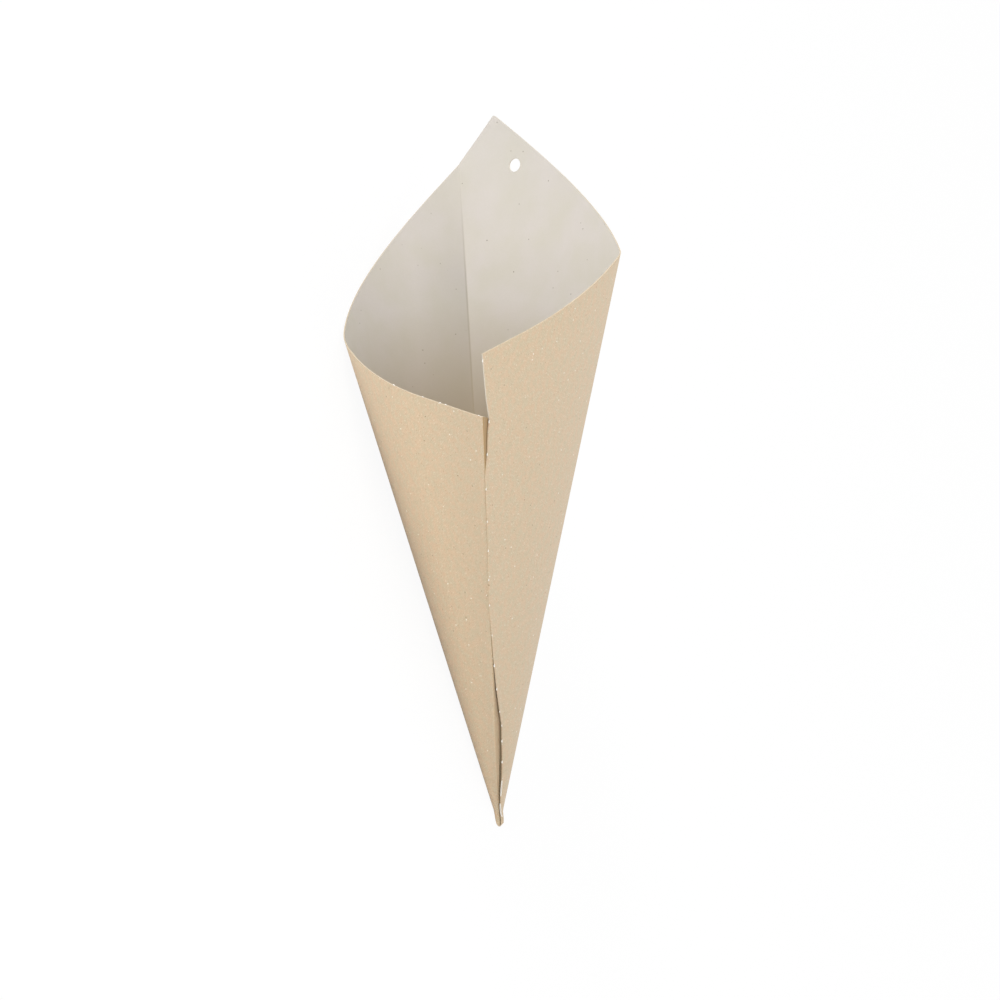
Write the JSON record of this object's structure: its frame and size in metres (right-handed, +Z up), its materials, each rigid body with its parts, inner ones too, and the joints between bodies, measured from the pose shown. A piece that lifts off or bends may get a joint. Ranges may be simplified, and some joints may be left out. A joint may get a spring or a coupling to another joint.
{
  "type": "cone paper cup",
  "caption": "Tapered food cup folded from one sheet of card and glued at the front seam, its mouth cut back to a tall rear peak with a hanging hole, lying on its side.",
  "frame": {"origin": "on the floor, below the middle of the cup's box as it lies on its left panel", "axes": "+Z up, +X from the mouth to the tip, -Y to the front seam and +Y to the back crease"},
  "size_m": [0.2506, 0.1672, 0.0981],
  "materials": {
    "kraft_card": "uncoated brown kraft outside, pale grey-white lining inside"
  },
  "bodies": {
    "root": {"card_cone": "kraft_card"}
  },
  "joints": []
}
